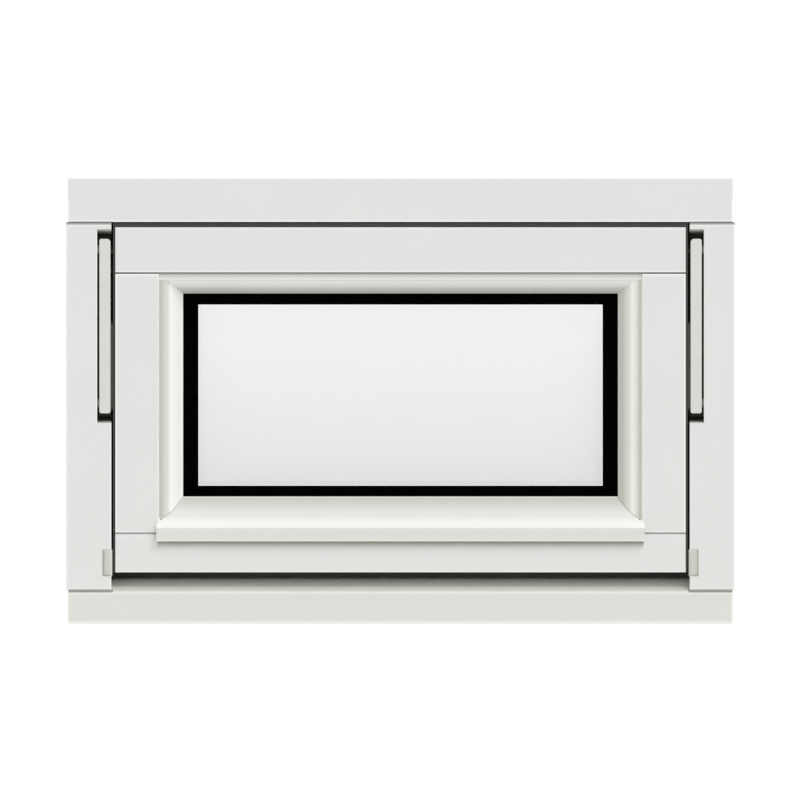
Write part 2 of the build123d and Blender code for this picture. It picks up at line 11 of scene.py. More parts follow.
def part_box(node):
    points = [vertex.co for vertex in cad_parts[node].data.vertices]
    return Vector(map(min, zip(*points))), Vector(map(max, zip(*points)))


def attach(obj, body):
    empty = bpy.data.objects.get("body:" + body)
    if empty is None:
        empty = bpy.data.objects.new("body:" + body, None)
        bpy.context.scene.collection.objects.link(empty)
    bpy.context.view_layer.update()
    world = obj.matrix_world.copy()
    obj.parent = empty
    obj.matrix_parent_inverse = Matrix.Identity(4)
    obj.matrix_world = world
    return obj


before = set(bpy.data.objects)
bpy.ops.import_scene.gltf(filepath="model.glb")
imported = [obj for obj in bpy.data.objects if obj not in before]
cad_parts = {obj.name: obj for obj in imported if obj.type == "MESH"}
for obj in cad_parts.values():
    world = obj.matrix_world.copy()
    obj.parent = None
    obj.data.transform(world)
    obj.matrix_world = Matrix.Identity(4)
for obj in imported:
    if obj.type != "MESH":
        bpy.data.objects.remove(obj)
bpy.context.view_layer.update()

log = logging.getLogger("pivot_window")

MM = 0.001
BODY = "root"
Colour = tuple[float, float, float]
Stops = tuple[tuple[float, float], ...]
Tree = bpy.types.ShaderNodeTree
Socket = bpy.types.NodeSocket

# A place past the window's edge on any axis, for the open side of a region
FAR = 1.0
# Depths in front of the whole window, just behind its outer faces, and behind its beads
IN_FRONT = -70 * MM
BEHIND_FACES = -53.5 * MM
BEHIND_BEADS = -30 * MM
# Points closer than this are merged
MERGE_DISTANCE = 0.01 * MM
# The lightest channel that a finish may have
LIGHTEST = 0.97
# Most of a noise lies between these values
NOISE_LOW = 0.3
NOISE_HIGH = 0.7
BUMP_STRENGTH = 0.2
FINE_BUMP = 0.02 * MM
WHITE: Colour = (1.0, 1.0, 1.0)
UNSTRETCHED = Vector(WHITE)


class Grain(Enum):
    """The direction that a member's brush marks run in, as the stretch of their noise."""

    ALONG_X = (0.02, 1.0, 1.0)
    ALONG_Z = (1.0, 1.0, 0.02)


class Axis(Enum):
    """An axis of the window's frame, as an output of Separate XYZ."""

    ACROSS = "X"
    DEPTH = "Y"
    HEIGHT = "Z"


class Blend(Enum):
    """How one colour is laid over another."""

    COVER = "MIX"
    TINT = "MULTIPLY"


class Sum(Enum):
    """How two values are joined."""

    SIZE = "ABSOLUTE"
    LARGER = "MAXIMUM"
    PRODUCT = "MULTIPLY"
    TOTAL = "ADD"


def new_material(name: str) -> tuple[bpy.types.Material, Tree]:
    """Makes a node material that holds only a Principled shader and its output.

    Args:
        name: the material's name.

    Returns:
        The material and its node tree.
    """
    material = bpy.data.materials.new(name)
    material.use_nodes = True
    tree = material.node_tree
    tree.nodes.clear()
    shader = tree.nodes.new("ShaderNodeBsdfPrincipled")
    shader.name = "shader"
    output = tree.nodes.new("ShaderNodeOutputMaterial")
    tree.links.new(shader.outputs["BSDF"], output.inputs["Surface"])
    return material, tree


def join_values(tree: Tree, kind: Sum, *values: Socket) -> Socket:
    """Joins values with one Math node after another.

    Args:
        tree: the node tree to add to.
        kind: how the values are joined.
        values: the sockets to join.

    Returns:
        The result's socket.
    """
    node = tree.nodes.new("ShaderNodeMath")
    node.operation = kind.value
    tree.links.new(values[0], node.inputs[0])
    if len(values) > 1:
        rest = values[1] if len(values) == 2 else join_values(tree, kind, *values[1:])
        tree.links.new(rest, node.inputs[1])
    return node.outputs["Value"]


def value_range(
    tree: Tree, source: Socket, low: float, high: float, from_low: float = 0.0, from_high: float = 1.0
) -> Socket:
    """Maps a value from one range onto another, and holds it there.

    Args:
        tree: the node tree to add to.
        source: the socket to map.
        low: the result where the source is at from_low.
        high: the result where the source is at from_high.
        from_low: start of the source's range.
        from_high: end of the source's range.

    Returns:
        The mapped value's socket.
    """
    span = tree.nodes.new("ShaderNodeMapRange")
    span.inputs["From Min"].default_value = from_low
    span.inputs["From Max"].default_value = from_high
    span.inputs["To Min"].default_value = low
    span.inputs["To Max"].default_value = high
    tree.links.new(source, span.inputs["Value"])
    return span.outputs["Result"]


def place_along(tree: Tree, axis: Axis, mirrored: bool = False) -> Socket:
    """Gives a point's place along one axis, in metres.

    Args:
        tree: the node tree to add to.
        axis: the axis to measure along.
        mirrored: measure the distance from the middle, the same on both sides.

    Returns:
        The place's socket.
    """
    coordinates = tree.nodes.new("ShaderNodeTexCoord")
    split = tree.nodes.new("ShaderNodeSeparateXYZ")
    tree.links.new(coordinates.outputs["Object"], split.inputs["Vector"])
    place = split.outputs[axis.value]
    return join_values(tree, Sum.SIZE, place) if mirrored else place


def object_noise(tree: Tree, stretch: Vector, scale: float, detail: float = 2.0) -> Socket:
    """Adds a noise texture on stretched Object coordinates.

    Args:
        tree: the node tree to add to.
        stretch: the factor along each axis, small along a brush stroke.
        scale: noise cells per metre, before the stretch.
        detail: octaves of the noise.

    Returns:
        The noise's value socket.
    """
    coordinates = tree.nodes.new("ShaderNodeTexCoord")
    mapping = tree.nodes.new("ShaderNodeMapping")
    mapping.inputs["Scale"].default_value = stretch
    noise = tree.nodes.new("ShaderNodeTexNoise")
    noise.inputs["Scale"].default_value = scale
    noise.inputs["Detail"].default_value = detail
    tree.links.new(coordinates.outputs["Object"], mapping.inputs["Vector"])
    tree.links.new(mapping.outputs["Vector"], noise.inputs["Vector"])
    return noise.outputs["Fac"]


def colour_ramp(tree: Tree, source: Socket, stops: list[tuple[float, Colour]]) -> Socket:
    """Turns a value from 0 to 1 into a colour.

    Args:
        tree: the node tree to add to.
        source: the socket that drives the ramp.
        stops: place and colour of each stop, in rising order.

    Returns:
        The ramp's colour socket.
    """
    node = tree.nodes.new("ShaderNodeValToRGB")
    elements = node.color_ramp.elements
    elements[0].position = stops[0][0]
    elements[1].position = stops[-1][0]
    for place, _ in stops[1:-1]:
        elements.new(place)
    for element, (_, colour) in zip(elements, stops):
        element.color = (*colour, 1.0)
    tree.links.new(source, node.inputs["Fac"])
    return node.outputs["Color"]


def noise_colours(tree: Tree, noise: Socket, low: Colour, high: Colour) -> Socket:
    """Spreads a noise over two colours.

    Args:
        tree: the node tree to add to.
        noise: the noise's value.
        low: the colour where the noise is low.
        high: the colour where it is high.

    Returns:
        The colour's socket.
    """
    return colour_ramp(tree, noise, [(NOISE_LOW, low), (NOISE_HIGH, high)])


def rough_between(tree: Tree, noise: Socket, roughness: float, spread: float) -> None:
    """Lets a noise vary the shader's roughness.

    Args:
        tree: the material's node tree.
        noise: the noise's value.
        roughness: the mean roughness.
        spread: how far it strays to either side.
    """
    rough = value_range(tree, noise, roughness - spread, roughness + spread)
    tree.links.new(rough, tree.nodes["shader"].inputs["Roughness"])


def lay_over(
    tree: Tree, kind: Blend, below: Socket, above: Socket | Colour, share: Socket | None = None
) -> Socket:
    """Lays one colour over another.

    Args:
        tree: the node tree to add to.
        kind: how the upper colour is laid on.
        below: the lower colour.
        above: the upper colour, a socket or a fixed colour.
        share: how far the upper colour counts, in full where it is left out.

    Returns:
        The blended colour's socket.
    """
    node = tree.nodes.new("ShaderNodeMix")
    node.data_type = "RGBA"
    node.blend_type = kind.value
    # The node's colour sockets share their names with its other kinds, so they are picked by place
    factor, first, second, result = node.inputs[0], node.inputs[6], node.inputs[7], node.outputs[2]
    factor.default_value = 1.0
    if share is not None:
        tree.links.new(share, factor)
    tree.links.new(below, first)
    if isinstance(above, tuple):
        second.default_value = (*above, 1.0)
    else:
        tree.links.new(above, second)
    return result


def add_bump(tree: Tree, height: Socket, depth: float) -> None:
    """Feeds a height into the shader's normal.

    Args:
        tree: the material's node tree.
        height: the socket that holds the height.
        depth: height in metres that a value of 1 stands for.
    """
    bump = tree.nodes.new("ShaderNodeBump")
    bump.inputs["Strength"].default_value = BUMP_STRENGTH
    bump.inputs["Distance"].default_value = depth
    tree.links.new(height, bump.inputs["Height"])
    tree.links.new(bump.outputs["Normal"], tree.nodes["shader"].inputs["Normal"])


def shade(colour: Colour, factor: float) -> Colour:
    """Returns the colour, lighter or darker by a factor."""
    return tuple(min(LIGHTEST, channel * factor) for channel in colour)


def stops_from(start: float, *marks: tuple[float, float]) -> Stops:
    """Places stops of a wash at distances from one place.

    Args:
        start: the place, in metres.
        marks: distance from it in millimetres, and the factor on the colour there.

    Returns:
        Each stop's place in metres, and its factor.
    """
    return tuple((start + distance * MM, factor) for distance, factor in marks)


@dataclass(frozen=True)
class Region:
    """A box-shaped part of a surface.

    Attributes:
        limits: axis, least and most place of each pair of sides, measured from the middle for ACROSS.
        fade: width over which it ends.
    """

    limits: tuple[tuple[Axis, float, float], ...]
    fade: float = 0.2 * MM

    def mask(self, tree: Tree) -> Socket:
        """Finds the inside of the region.

        Args:
            tree: the node tree to add to.

        Returns:
            A socket that is 1 inside and 0 outside.
        """
        sides = []
        for axis, low, high in self.limits:
            along = place_along(tree, axis, mirrored=axis is Axis.ACROSS)
            sides.append(value_range(tree, along, 0.0, 1.0, low - self.fade, low))
            sides.append(value_range(tree, along, 1.0, 0.0, high, high + self.fade))
        return join_values(tree, Sum.PRODUCT, *sides)


OUTSIDE = (Axis.DEPTH, IN_FRONT, BEHIND_FACES)


@dataclass(frozen=True)
class EdgeLine:
    """A thin line beside an edge: a painted highlight where it is lighter, a dark joint line where it is
    darker.

    Attributes:
        axis: the axis that the line lies across.
        place: where on that axis, in metres, on both sides of the middle for ACROSS.
        factor: factor on the colour along the line.
        half: half of its width.
        beyond: least distance from the window's middle that it is seen at.
    """

    axis: Axis
    place: float
    factor: float
    half: float = 0.8 * MM
    beyond: float = -1 * MM

    def draw(self, tree: Tree, below: Socket, colour: Colour) -> Socket:
        """Lays the line over a colour.

        Args:
            tree: the node tree to add to.
            below: the colour before.
            colour: the finish's own colour.

        Returns:
            The colour's socket, with the line on it.
        """
        inner = self.half / 2
        limits = [OUTSIDE, (self.axis, self.place - inner, self.place + inner)]
        if self.beyond > 0.0:
            limits.append((Axis.ACROSS, self.beyond, FAR))
        mask = Region(tuple(limits), inner).mask(tree)
        return lay_over(tree, Blend.COVER, below, shade(colour, self.factor), mask)


@dataclass(frozen=True)
class JointLine:
    """A dark hairline along a slanted joint, the same on both sides of the window's middle.

    Attributes:
        inner: place of its inner end: distance from the middle, and height.
        outer: place of its outer end, below the inner one.
        factor: factor on the colour along the line.
        half: half of its width.
    """

    inner: tuple[float, float]
    outer: tuple[float, float]
    factor: float = 0.5
    half: float = 0.55 * MM

    def draw(self, tree: Tree, below: Socket, colour: Colour) -> Socket:
        """Lays the line over a colour.

        Args:
            tree: the node tree to add to.
            below: the colour before.
            colour: the finish's own colour.

        Returns:
            The colour's socket, with the line on it.
        """
        run = Vector((self.outer[0] - self.inner[0], self.inner[1] - self.outer[1])).normalized()
        place = run.y * self.inner[0] + run.x * self.inner[1]
        across = value_range(tree, place_along(tree, Axis.ACROSS, mirrored=True), 0.0, run.y)
        height = value_range(tree, place_along(tree, Axis.HEIGHT), 0.0, run.x)
        total = join_values(tree, Sum.TOTAL, across, height)
        limits = (
            (Axis.DEPTH, IN_FRONT, BEHIND_BEADS),
            (Axis.ACROSS, self.inner[0], self.outer[0]),
            (Axis.HEIGHT, self.outer[1], self.inner[1]),
        )
        mask = join_values(
            tree,
            Sum.PRODUCT,
            value_range(tree, total, 0.0, 1.0, place - self.half, place),
            value_range(tree, total, 1.0, 0.0, place, place + self.half),
            Region(limits).mask(tree),
        )
        return lay_over(tree, Blend.COVER, below, shade(colour, self.factor), mask)


@dataclass(frozen=True)
class Arris:
    """A painted highlight along the edges of a piece, found by their turned faces.

    Attributes:
        factor: factor on the colour along the edges.
        region: the part of the piece where they count.
        flat: largest part of the normal where the painted highlight starts.
        turned: largest part of the normal where it is full.
    """

    factor: float = 1.28
    region: Region = Region((OUTSIDE,))
    flat: float = 0.975
    turned: float = 0.93

    def paint_highlight(self, tree: Tree, below: Socket, colour: Colour) -> Socket:
        """Lays the painted highlight over the edges.

        Args:
            tree: the node tree to add to.
            below: the colour before.
            colour: the finish's own colour.

        Returns:
            The colour's socket, with the painted highlight on it.
        """
        geometry = tree.nodes.new("ShaderNodeNewGeometry")
        split = tree.nodes.new("ShaderNodeSeparateXYZ")
        tree.links.new(geometry.outputs["Normal"], split.inputs["Vector"])
        parts = [join_values(tree, Sum.SIZE, split.outputs[axis.value]) for axis in Axis]
        largest = join_values(tree, Sum.LARGER, *parts)
        # Painted highlight: lighter where the face turns away from the main axes, along the edges
        highlight_share = value_range(tree, largest, 1.0, 0.0, self.turned, self.flat)
        mask = join_values(tree, Sum.PRODUCT, highlight_share, self.region.mask(tree))
        return lay_over(tree, Blend.COVER, below, shade(colour, self.factor), mask)


@dataclass(frozen=True)
class Wash:
    """A tone that grades along one axis, used to paint shade and highlight onto a surface.

    Attributes:
        axis: the axis that it grades along.
        stops: places in metres, in rising order, with the factor on the colour at each.
        mirrored: the same on both sides of the window's middle.
        warmth: how much faster the blue falls where it is darker.
        blue: factor on the blue everywhere.
    """

    axis: Axis = Axis.HEIGHT
    stops: Stops = ((0.0, 1.0), (FAR, 1.0))
    mirrored: bool = False
    warmth: float = 0.2
    blue: float = 1.0

    def build(self, tree: Tree, colour: Colour) -> Socket:
        """Grades a colour.

        Args:
            tree: the node tree to add to.
            colour: the colour where the factor is 1.

        Returns:
            The graded colour's socket.
        """
        first, last = self.stops[0][0], self.stops[-1][0]
        place = value_range(tree, place_along(tree, self.axis, self.mirrored), 0.0, 1.0, first, last)
        ramp = []
        for at, factor in self.stops:
            red, green, blue = shade(colour, factor)
            warm = blue * self.blue * min(1.0, factor) ** self.warmth
            ramp.append(((at - first) / (last - first), (red, green, warm)))
        return colour_ramp(tree, place, ramp)


def even_wash(factor: float) -> Wash:
    """Returns a wash of one tone all over."""
    return Wash(stops=((0.0, factor), (FAR, factor)))


@dataclass(frozen=True)
class Patch:
    """A part of a finish with a tone of its own, such as the painted shade inside a pocket.

    Attributes:
        wash: the tone inside it.
        region: where it lies.
    """

    wash: Wash
    region: Region


@dataclass(frozen=True)
class BrushedPaint:
    """Satin paint brushed along a timber member, with a painted highlight on its outer arrises.

    Attributes:
        name: the material's name.
        colour: mean linear colour.
        grain: the direction that the brush ran in.
        wash: the painted shade and highlight that grade over the member.
        arris: the painted highlight along the edges, or None where there is none.
        lines: painted highlights and dark joint lines beside the edges.
        patches: places with a tone of their own, all painted shade.
        roughness: mean roughness.
        variation: how far the colour drifts, as a share.
        gloss_drift: how far the roughness strays to either side.
        clouds: cells of the colour's drift per metre.
        strokes: brush marks per metre, across the grain.
        stroke_depth: depth of the brush marks.
    """

    name: str
    colour: Colour
    grain: Grain
    wash: Wash = Wash()
    arris: Arris | None = Arris()
    lines: tuple[EdgeLine | JointLine, ...] = ()
    patches: tuple[Patch, ...] = ()
    roughness: float = 0.45
    variation: float = 0.016
    gloss_drift: float = 0.05
    clouds: float = 14.0
    strokes: float = 900.0
    stroke_depth: float = 0.03 * MM

    def tone(self, tree: Tree) -> Socket:
        """Builds the paint's colour.

        Args:
            tree: the node tree to add to.

        Returns:
            The colour's socket.
        """
        colour = self.wash.build(tree, self.colour)
        if self.arris is not None:
            colour = self.arris.paint_highlight(tree, colour, self.colour)
        for line in self.lines:
            colour = line.draw(tree, colour, self.colour)
        for patch in self.patches:
            toned = patch.wash.build(tree, self.colour)
            colour = lay_over(tree, Blend.COVER, colour, toned, patch.region.mask(tree))
        clouds = object_noise(tree, UNSTRETCHED, self.clouds)
        drift = noise_colours(tree, clouds, (1.0 - self.variation,) * 3, WHITE)
        return lay_over(tree, Blend.TINT, colour, drift)

    def build(self) -> bpy.types.Material:
        """Builds the paint's material."""
        material, tree = new_material(self.name)
        strokes = object_noise(tree, Vector(self.grain.value), self.strokes, detail=3.0)
        tree.links.new(self.tone(tree), tree.nodes["shader"].inputs["Base Color"])
        rough_between(tree, strokes, self.roughness, self.gloss_drift)
        add_bump(tree, strokes, self.stroke_depth)
        return material


@dataclass(frozen=True)
class Rubber:
    """Extruded or moulded rubber with a fine bloom.

    Attributes:
        name: the material's name.
        colour: mean linear colour.
        roughness: mean roughness.
        specular: strength of the surface reflection.
        bloom: specks of bloom per metre.
        variation: how far the specks are lighter or darker, as a share.
        gloss_drift: how far the roughness strays to either side.
    """

    name: str
    colour: Colour
    roughness: float = 0.8
    specular: float = 0.2
    bloom: float = 1600.0
    variation: float = 0.15
    gloss_drift: float = 0.1

    def build(self) -> bpy.types.Material:
        """Builds the rubber's material."""
        material, tree = new_material(self.name)
        shader = tree.nodes["shader"]
        shader.inputs["Specular IOR Level"].default_value = self.specular
        speckle = object_noise(tree, UNSTRETCHED, self.bloom)
        dark, light = shade(self.colour, 1.0 - self.variation), shade(self.colour, 1.0 + self.variation)
        tree.links.new(noise_colours(tree, speckle, dark, light), shader.inputs["Base Color"])
        rough_between(tree, speckle, self.roughness, self.gloss_drift)
        add_bump(tree, speckle, FINE_BUMP)
        return material


@dataclass(frozen=True)
class Coating:
    """Powder coat, plating or moulded plastic with a fine orange-peel surface.

    Attributes:
        name: the material's name.
        colour: mean linear colour.
        roughness: mean roughness.
        metallic: 0 for paint and plastic, 1 for bare metal.
        peel: cells of the surface ripple per metre.
        wash: the painted shade and highlight that grade over the piece.
        arris: the painted highlight along the edges, or None where there is none.
        wear: cells of the spots of wear per metre.
        variation: how far the spots of wear are darker, as a share.
        gloss_drift: how far the roughness strays to either side.
    """

    name: str
    colour: Colour
    roughness: float = 0.4
    metallic: float = 0.0
    peel: float = 1200.0
    wash: Wash = Wash()
    arris: Arris | None = None
    wear: float = 60.0
    variation: float = 0.03
    gloss_drift: float = 0.08

    def build(self) -> bpy.types.Material:
        """Builds the coating's material."""
        material, tree = new_material(self.name)
        shader = tree.nodes["shader"]
        shader.inputs["Metallic"].default_value = self.metallic
        colour = self.wash.build(tree, self.colour)
        if self.arris is not None:
            colour = self.arris.paint_highlight(tree, colour, self.colour)
        ripple = object_noise(tree, UNSTRETCHED, self.peel)
        wear = object_noise(tree, UNSTRETCHED, self.wear, detail=3.0)
        drift = noise_colours(tree, wear, (1.0 - self.variation,) * 3, WHITE)
        tree.links.new(lay_over(tree, Blend.TINT, colour, drift), shader.inputs["Base Color"])
        rough_between(tree, wear, self.roughness, self.gloss_drift)
        add_bump(tree, ripple, FINE_BUMP)
        return material


@dataclass(frozen=True)
class PaneGlass:
    """A pane of clear glass with a thin film of dust, denser towards its foot.

    Attributes:
        name: the material's name.
        film: linear colour of the painted shade.
        foot: height in metres where the painted shade is densest.
        head: height in metres where the painted shade is thinnest.
        half: half of the clear width.
        dense: the painted shade's cover at the foot.
        thin: the painted shade's cover at the head.
        rim: width of the strip along the edge where the painted shade is thinner.
        rim_share: share of the painted shade that is left at the very edge.
        ior: how far the glass bends light.
        mottling: cells of the painted shade's mottling per metre.
        variation: how far the mottling is lighter or darker, as a share.
        roughness: mean roughness.
        gloss_drift: how far the roughness strays to either side.
    """

    name: str
    film: Colour
    foot: float
    head: float
    half: float
    dense: float
    thin: float
    rim: float = 1.6 * MM
    rim_share: float = 0.35
    ior: float = 1.5
    mottling: float = 30.0
    variation: float = 0.015
    roughness: float = 0.035
    gloss_drift: float = 0.015

    def build(self) -> bpy.types.Material:
        """Builds the glass's material."""
        material, tree = new_material(self.name)
        shader = tree.nodes["shader"]
        shader.inputs["IOR"].default_value = self.ior
        height = place_along(tree, Axis.HEIGHT)
        across = place_along(tree, Axis.ACROSS, mirrored=True)
        # Painted shade over the glass: denser towards the foot, thinner in a strip along the edge
        inner = join_values(
            tree,
            Sum.PRODUCT,
            value_range(tree, across, 1.0, 0.0, self.half - self.rim, self.half),
            value_range(tree, height, 0.0, 1.0, self.foot, self.foot + self.rim),
            value_range(tree, height, 1.0, 0.0, self.head - self.rim, self.head),
        )
        cover = value_range(tree, height, self.dense, self.thin, self.foot, self.head)
        rim_thinning = value_range(tree, inner, self.rim_share, 1.0)
        tree.links.new(join_values(tree, Sum.PRODUCT, cover, rim_thinning), shader.inputs["Alpha"])
        mottle = object_noise(tree, UNSTRETCHED, self.mottling)
        dark, light = shade(self.film, 1.0 - self.variation), shade(self.film, 1.0 + self.variation)
        tree.links.new(noise_colours(tree, mottle, dark, light), shader.inputs["Base Color"])
        rough_between(tree, mottle, self.roughness, self.gloss_drift)
        return material


def dress(node: str, material: bpy.types.Material) -> None:
    """Gives a CAD node its finish.

    Args:
        node: the node's name.
        material: the finish.
    """
    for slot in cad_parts[node].material_slots:
        slot.material = material
    log.info("dressed %s with %s", node, material.name)


def new_piece(
    name: str, shape: bmesh.types.BMesh, material: bpy.types.Material
) -> bpy.types.Object:
    """Turns a finished bmesh into a piece that rides with the window.

    Args:
        name: the piece's name.
        shape: its geometry, in metres in the window's frame. It is freed here.
        material: the finish.

    Returns:
        The new object.
    """
    bmesh.ops.remove_doubles(shape, verts=shape.verts, dist=MERGE_DISTANCE)
    bmesh.ops.recalc_face_normals(shape, faces=shape.faces)
    mesh = bpy.data.meshes.new(name)
    shape.to_mesh(mesh)
    shape.free()
    mesh.materials.append(material)
    piece = bpy.data.objects.new(name, mesh)
    bpy.context.scene.collection.objects.link(piece)
    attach(piece, BODY)
    log.info("built %s with %d faces", name, len(mesh.polygons))
    return piece


@dataclass
class OuterFrame:
    """The fixed frame: head, sill, jambs and the seal in its rebate.

    Attributes:
        paint, sill_paint, seal: linear colours.
        head_foot, sill_top: heights of the head's lower edge and the sill's upper front edge.
        opening_half: half of the width between the jambs.
        joint: gap between jamb and head or sill.
        pocket_low, pocket_high: heights of a guide rail's pocket.
        pocket_reach: distance of its outer side from the window's middle.
        pocket_depth: how deep it is cut in.
        pocket_ramp, pocket_foot: how far the painted shade above and below the rail reaches into it.
    """

    paint: Colour = (0.735, 0.735, 0.72)
    sill_paint: Colour = (0.705, 0.698, 0.662)
    seal: Colour = (0.2, 0.2, 0.18)
    head_foot: float = 359.1 * MM
    sill_top: float = 28.9 * MM
    opening_half: float = 258.7 * MM
    joint: float = 0.8 * MM
    pocket_low: float = 179.2 * MM
    pocket_high: float = 352.7 * MM
    pocket_reach: float = 271.5 * MM
    pocket_depth: float = 23 * MM
    pocket_ramp: float = 7.2 * MM
    pocket_foot: float = 8.7 * MM

    def build(self) -> None:
        """Dresses every piece of the frame."""
        self.dress_head()
        self.dress_jambs()
        self.dress_sill()
        dress("frame_seal", Rubber("seal_rubber", self.seal).build())

    def dress_head(self) -> None:
        """Dresses the head, with a painted highlight along its lower edge."""
        foot = self.head_foot
        below_top = Region((OUTSIDE, (Axis.HEIGHT, 0.0, foot + 20 * MM)))
        # The lighter line is a painted highlight; the darker one is the dark joint over the jambs
        lines = (
            EdgeLine(Axis.HEIGHT, foot + 1.3 * MM, 1.13, 0.7 * MM),
            EdgeLine(Axis.HEIGHT, foot + 0.2 * MM, 0.8, 0.4 * MM, self.opening_half),
        )
        arris = Arris(region=below_top)
        paint = BrushedPaint("head_paint", self.paint, Grain.ALONG_X, arris=arris, lines=lines)
        dress("frame_head", paint.build())

    def dress_jambs(self) -> None:
        """Dresses the jambs, with painted shade inside the guide rails' pockets and painted highlights
        along their edges.
        """
        low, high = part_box("right_jamb")
        top, foot = self.head_foot - self.joint, self.sill_top + self.joint
        between = Region((OUTSIDE, (Axis.HEIGHT, foot + MM, top - MM)))
        # Lighter lines are painted highlights beside the edges; darker ones are dark joint lines at the
        # head and the sill
        lines = (
            EdgeLine(Axis.ACROSS, high.x - 1.1 * MM, 1.06),
            EdgeLine(Axis.HEIGHT, top - 1.5 * MM, 0.7, 0.7 * MM),
            EdgeLine(Axis.HEIGHT, top - 2.4 * MM, 1.15, 0.6 * MM),
            EdgeLine(Axis.HEIGHT, top - 0.4 * MM, 0.4),
            EdgeLine(Axis.HEIGHT, foot - 0.4 * MM, 0.5, 0.6 * MM),
            EdgeLine(Axis.HEIGHT, foot + 0.9 * MM, 1.32, 1.4 * MM),
        )
        paint = BrushedPaint(
            "jamb_paint",
            self.paint,
            Grain.ALONG_Z,
            arris=Arris(region=between),
            lines=lines,
            patches=self.pocket_patches(low.x, low.y),
        ).build()
        dress("left_jamb", paint)
        dress("right_jamb", paint)

    def pocket_patches(self, inner: float, mouth: float) -> tuple[Patch, ...]:
        """Returns the painted shade inside a guide rail's pocket: along the rail, above it and below it.

        Args:
            inner: distance of the jamb's inner face from the window's middle.
            mouth: depth of the pocket's mouth.

        Returns:
            The patches for the jambs' paint.
        """
        across = (Axis.ACROSS, inner - MM, self.pocket_reach)
        depth = (Axis.DEPTH, mouth + 0.9 * MM, mouth + self.pocket_depth + 0.3 * MM)
        low, high = self.pocket_low, self.pocket_high
        ramp, foot = high - self.pocket_ramp, low + self.pocket_foot
        # Painted shade in the pocket: darker the deeper it goes along the rail, and graded by height on
        # its ends
        dimming = stops_from(mouth, (0, 0.7), (3, 0.3), (8, 0.1), (14, 0.04))
        along = Wash(Axis.DEPTH, (*dimming, (mouth + self.pocket_depth, 0.02)))
        rising = stops_from(high, (-5.7, 0.12), (-3.7, 0.35), (-2.2, 0.7), (-1.3, 0.9), (0, 0.95))
        above = Wash(Axis.HEIGHT, ((ramp, 0.01), *rising))
        falling = stops_from(low, (0, 0.9), (1.3, 0.6), (2.2, 0.15), (7.8, 0.1))
        below = Wash(Axis.HEIGHT, (*falling, (foot, 0.01)))
        return (
            Patch(along, Region((across, (Axis.HEIGHT, low, high), depth))),
            Patch(above, Region((across, (Axis.HEIGHT, ramp, high), depth))),
            Patch(below, Region((across, (Axis.HEIGHT, low, foot), depth))),
        )

    def dress_sill(self) -> None:
        """Dresses the sill, with painted shade and painted light graded over its fall towards the sash."""
        low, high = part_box("frame_sill")
        front = low.y
        # Painted shade and painted light on the sill's fall, graded by depth from its front edge
        outer = stops_from(front, (0, 1.0), (0.3, 0.9), (2.2, 0.93), (6.6, 0.88), (11, 0.88), (15.5, 1.05))
        under = stops_from(front, (20, 0.9), (24.5, 0.75), (29, 1.1), (32, 1.3), (60, 1.3), (66, 1.0))
        fall = Wash(Axis.DEPTH, (*outer, *under, (high.y, 1.0)))
        top, half = self.sill_top, self.opening_half
        # Lighter lines are painted highlights beside the edges; the darker ones, under the jambs, are dark
        # joint lines
        lines = (
            EdgeLine(Axis.ACROSS, high.x - 0.6 * MM, 1.12, 0.7 * MM),
            EdgeLine(Axis.HEIGHT, 1.7 * MM, 1.1, 0.9 * MM),
            EdgeLine(Axis.HEIGHT, 0.4 * MM, 1.37, 0.8 * MM),
            EdgeLine(Axis.HEIGHT, top - 1.8 * MM, 1.12, 1.1 * MM),
            EdgeLine(Axis.HEIGHT, top - 0.7 * MM, 0.3, 0.9 * MM, half),
            EdgeLine(Axis.HEIGHT, top + 0.4 * MM, 0.5, 0.6 * MM, half),
            EdgeLine(Axis.HEIGHT, top - 1.4 * MM, 0.84, 0.6 * MM, half),
            EdgeLine(Axis.HEIGHT, top - 2.2 * MM, 1.17, 0.6 * MM, half),
        )
        upper = (Axis.HEIGHT, top - 0.9 * MM, FAR)
        in_opening = Region(((Axis.ACROSS, -MM, half), upper, (Axis.DEPTH, front + 0.2 * MM, high.y)))
        # Painted shadow on the sill along each jamb's inner edge
        jamb_shadow = Region((OUTSIDE, (Axis.ACROSS, half - 1.4 * MM, half), upper))
        paint = BrushedPaint(
            "sill_paint",
            self.sill_paint,
            Grain.ALONG_X,
            arris=None,
            lines=lines,
            patches=(Patch(fall, in_opening), Patch(even_wash(0.5), jamb_shadow)),
        )
        dress("frame_sill", paint.build())


